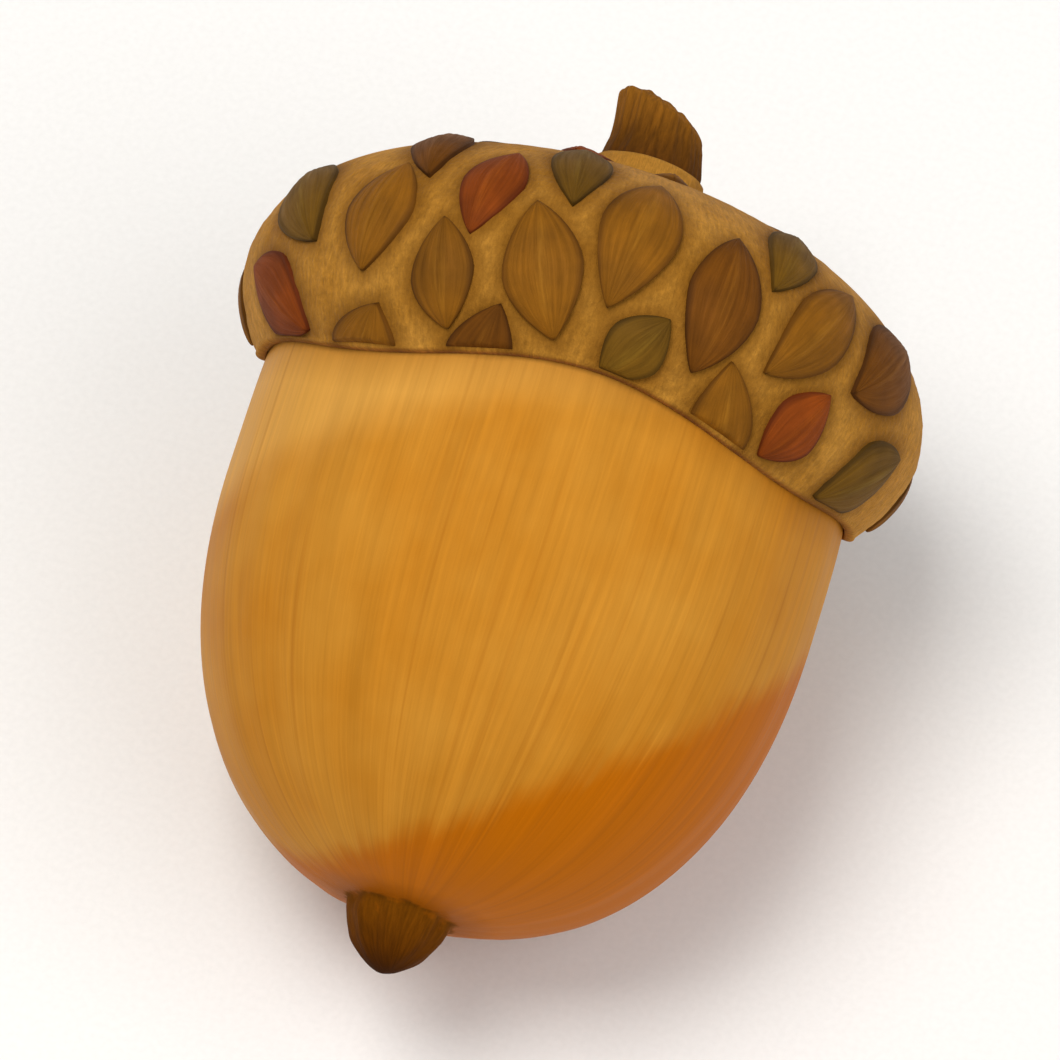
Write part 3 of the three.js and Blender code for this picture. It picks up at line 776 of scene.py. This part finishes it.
def scale_mesh(scale):
    """One scale: a keeled leaf with a rolled edge, its root sunk in the cap."""
    downs = np.sin(np.linspace(-1, 1, SCALE_ROWS) * math.pi / 2)
    acrosses = np.sin(np.linspace(-1, 1, SCALE_COLUMNS) * math.pi / 2)
    down, across = (values.ravel() for values in np.meshgrid(downs, acrosses, indexing="ij"))
    rise = np.sqrt(np.maximum(1 - down ** 2, 0)) * (1 + FREE_END_LIFT * down)
    ridge = 1 - np.abs(across) ** 1.5
    height = SCALE_EDGE + (SCALE_KEEL - SCALE_EDGE) * rise * ridge
    height += RIB_HEIGHT * rise * ridge * np.cos(RIBS * math.pi * across)
    top = scale_rows(scale, downs, acrosses, height)[0]
    root = scale_rows(scale, downs, acrosses, -SCALE_ROOT)[0]
    rows, columns = SCALE_ROWS, SCALE_COLUMNS
    # Each end's row is a single point, and the edge's first and last columns join top and root
    keep = (down > -1) & (down < 1)
    index = -np.ones((2, rows * columns), int)
    points = []
    for layer, grid in enumerate((top, root)):
        for at, point in enumerate(grid):
            if keep[at]:
                index[layer, at] = len(points)
                points.append(point)
            elif at % columns == 0:
                index[layer, at:at + columns] = len(points)
                points.append(point)
    faces = []
    for row in range(rows - 1):
        for column in range(columns - 1):
            here, below = row * columns + column, (row + 1) * columns + column
            faces.append([index[0, at] for at in (here, below, below + 1, here + 1)])
            faces.append([index[1, at] for at in (here, here + 1, below + 1, below)])
        for column, flip in ((0, 1), (columns - 1, -1)):
            here, below = row * columns + column, (row + 1) * columns + column
            wall = [index[0, here], index[1, here], index[1, below], index[0, below]]
            faces.append(wall[::flip])
    clean = []
    for face in faces:
        corners = list(dict.fromkeys(face))
        if len(corners) > 2:
            clean.append(corners)
    used = np.concatenate([[at for at in range(rows * columns) if keep[at] or at % columns == 0]] * 2)
    return np.array(points), clean, down[used], across[used]


def cut_at_rim(points, faces, marks, turn):
    """A scale with what reaches past the cap's rim cut off, and the cut closed."""
    beside = np.array([turn - CUT_HALF_TURN, turn + CUT_HALF_TURN])
    rim = on_cap(np.full(2, CAP_RUN[-1] - CUT_SHORT), beside, np.zeros(2))
    chord = Vector(rim[1] - rim[0])
    spoke = Vector((math.sin(turn), 0, math.cos(turn)))
    facing = chord.cross(spoke)
    facing *= -math.copysign(1, facing.y)
    body = bmesh.new()
    layers = [body.verts.layers.float.new(name) for name in marks]
    for at, point in enumerate(points):
        vertex = body.verts.new(point)
        for layer, name in zip(layers, marks):
            vertex[layer] = marks[name][at]
    body.verts.ensure_lookup_table()
    for face in faces:
        body.faces.new([body.verts[corner] for corner in face])
    everything = body.verts[:] + body.edges[:] + body.faces[:]
    cut = bmesh.ops.bisect_plane(body, geom=everything, plane_co=Vector(rim.mean(0)), plane_no=facing,
                                 clear_outer=True)
    edges = [part for part in cut["geom_cut"] if isinstance(part, bmesh.types.BMEdge)]
    if edges:
        bmesh.ops.holes_fill(body, edges=edges)
    body.verts.index_update()
    points = np.array([vertex.co for vertex in body.verts])
    marks = {name: np.array([vertex[layer] for vertex in body.verts]) for layer, name in zip(layers, marks)}
    faces = [[vertex.index for vertex in face.verts] for face in body.faces]
    body.free()
    return points, faces, marks


def make_scales(scales):
    """The scales of each kind, one piece for each."""
    for kind in SCALE_COLOURS:
        points, faces, count = [], [], 0
        marks = {"down": [], "across": [], "edge": []}
        for number, scale in enumerate(scales):
            if scale["kind"] != kind:
                continue
            body, body_faces, down, across = scale_mesh(scale)
            own = {
                "down": down * scale["length"] / 2 + number * DOWN_STEP,
                "across": across * scale["width"] / 2 + number * ACROSS_STEP,
                "edge": np.maximum(np.abs(across), down ** 4),
            }
            if scale["along"] + scale["length"] / 2 > CAP_RUN[-1] - NEAR_RIM:
                body, body_faces, own = cut_at_rim(body, body_faces, own, scale["turn"])
            faces += [[corner + count for corner in face] for face in body_faces]
            points.append(body)
            for name in marks:
                marks[name].append(own[name])
            count += len(body)
        piece("cap_scales_" + kind, np.concatenate(points), faces, dry_scale(kind), "cap",
              {name: np.concatenate(values) for name, values in marks.items()})


def make_stalk():
    """The stub of the stalk, grooved lengthwise, with a worn broken end."""
    end_y = STALK_END_Y - STALK_ROUNDING
    outline = np.concatenate([
        [[0, COLLAR_TOP_Y - STALK_SUNK], [STALK_BASE_RADIUS, COLLAR_TOP_Y - STALK_SUNK]],
        [[STALK_BASE_RADIUS, COLLAR_TOP_Y + STALK_BASE_HEIGHT], [STALK_FLARE_RADIUS, STALK_FLARE_Y]],
        rounded(STALK_RADIUS, STALK_POWER, end_y, STALK_ROUNDING, 0, 1, steps=20),
    ])
    points, faces = turned(evenly(outline, STALK_SPACING), STALK_SEGMENTS)
    turn = np.arctan2(points[:, 0], points[:, 2])
    radius = np.hypot(points[:, 0], points[:, 2])
    out = points * [1, 0, 1] / np.maximum(radius, 1e-6)[:, None]
    grooves = BROAD_GROOVE_DEPTH * np.cos(BROAD_GROOVES * turn + 0.5 * np.sin(3 * turn))
    grooves += FINE_GROOVE_DEPTH * np.cos(FINE_GROOVES * turn)
    swell = (grooves + STALK_LUMP_HEIGHT * lumps(points, 0.8, 6)) * smoothstep(radius, 0.4, 1.4)
    points += out * swell[:, None]
    end = smoothstep(points[:, 1], STALK_END_Y - 0.5, STALK_END_Y - 0.05)
    points[:, 1] += end * BROKEN_END_HEIGHT * lumps(points, 0.35, 7)
    piece("stalk_stub", sway(slant(points)), faces, stalk_wood(), "stalk")


# The surroundings

CAMERA_AZIMUTH, CAMERA_ELEVATION = math.radians(17.1), math.radians(62.3)
CAMERA_LENS, CAMERA_SENSOR = 250, 36
FRAME_WIDTH = 38.4 * MM
LOOKED_AT = Vector((0.05, -3.15, 0)) * MM
FLOOR_REACH = 3
ROOM_LIGHT = 0.42


def picture_axes():
    """The picture's right, up and towards the camera, as directions in the room."""
    back = Vector((
        math.sin(CAMERA_AZIMUTH) * math.cos(CAMERA_ELEVATION),
        -math.cos(CAMERA_AZIMUTH) * math.cos(CAMERA_ELEVATION),
        math.sin(CAMERA_ELEVATION),
    ))
    right = Vector((math.cos(CAMERA_AZIMUTH), math.sin(CAMERA_AZIMUTH), 0))
    return right, back.cross(right), back


def make_camera():
    """The camera, which looks down on the acorn at the picture's angle."""
    right, up, back = picture_axes()
    data = bpy.data.cameras.new("camera")
    data.lens, data.sensor_width = CAMERA_LENS, CAMERA_SENSOR
    camera = bpy.data.objects.new("camera", data)
    bpy.context.scene.collection.objects.link(camera)
    distance = FRAME_WIDTH * CAMERA_LENS / CAMERA_SENSOR
    turned_to = Matrix((right, up, back)).transposed().to_4x4()
    camera.matrix_world = Matrix.Translation(LAYING @ LOOKED_AT + back * distance) @ turned_to
    data.clip_start, data.clip_end = 0.01, 10
    bpy.context.scene.camera = camera


def make_light(name, towards, distance, size, power, colour):
    """A soft box that lies in this direction of the picture (right, up, nearer) and faces the acorn."""
    axes = picture_axes()
    way = sum((axis * share for axis, share in zip(axes, towards)), Vector()).normalized()
    data = bpy.data.lights.new(name, "AREA")
    data.shape = "RECTANGLE"
    data.size, data.size_y = size
    data.energy, data.color = power, colour
    light = bpy.data.objects.new(name, data)
    bpy.context.scene.collection.objects.link(light)
    turned_to = way.to_track_quat("Z", "Y").to_matrix().to_4x4()
    light.matrix_world = Matrix.Translation(LAYING @ LOOKED_AT + way * distance) @ turned_to
    light.visible_camera = False


def make_surroundings():
    """The floor, the room's even light and two soft lights."""
    mesh = bpy.data.meshes.new("floor")
    signs = ((-1, -1), (1, -1), (1, 1), (-1, 1))
    corners = [(right * FLOOR_REACH, far * FLOOR_REACH, 0) for right, far in signs]
    mesh.from_pydata(corners, [], [(0, 1, 2, 3)])
    mesh.materials.append(pale_card())
    floor = bpy.data.objects.new("floor", mesh)
    bpy.context.scene.collection.objects.link(floor)
    world = bpy.data.worlds.new("room")
    bpy.context.scene.world = world
    world.use_nodes = True
    background = world.node_tree.nodes["Background"]
    background.inputs[0].default_value = (1, 1, 1, 1)
    background.inputs[1].default_value = ROOM_LIGHT
    make_light("key", towards=(-0.3, 0.55, 1), distance=0.4, size=(0.2, 0.2),
               power=1.1, colour=(1, 0.98, 0.95))
    make_light("fill", towards=(0.7, 0, 1), distance=0.5, size=(0.4, 0.4),
               power=0.9, colour=(1, 1, 1))
    view = bpy.context.scene.view_settings
    view.view_transform, view.look, view.exposure, view.gamma = "Standard", "None", 0, 1


all_scales = place_scales()
make_camera()
make_nut()
make_cap(all_scales)
make_scales(all_scales)
make_stalk()
make_surroundings()
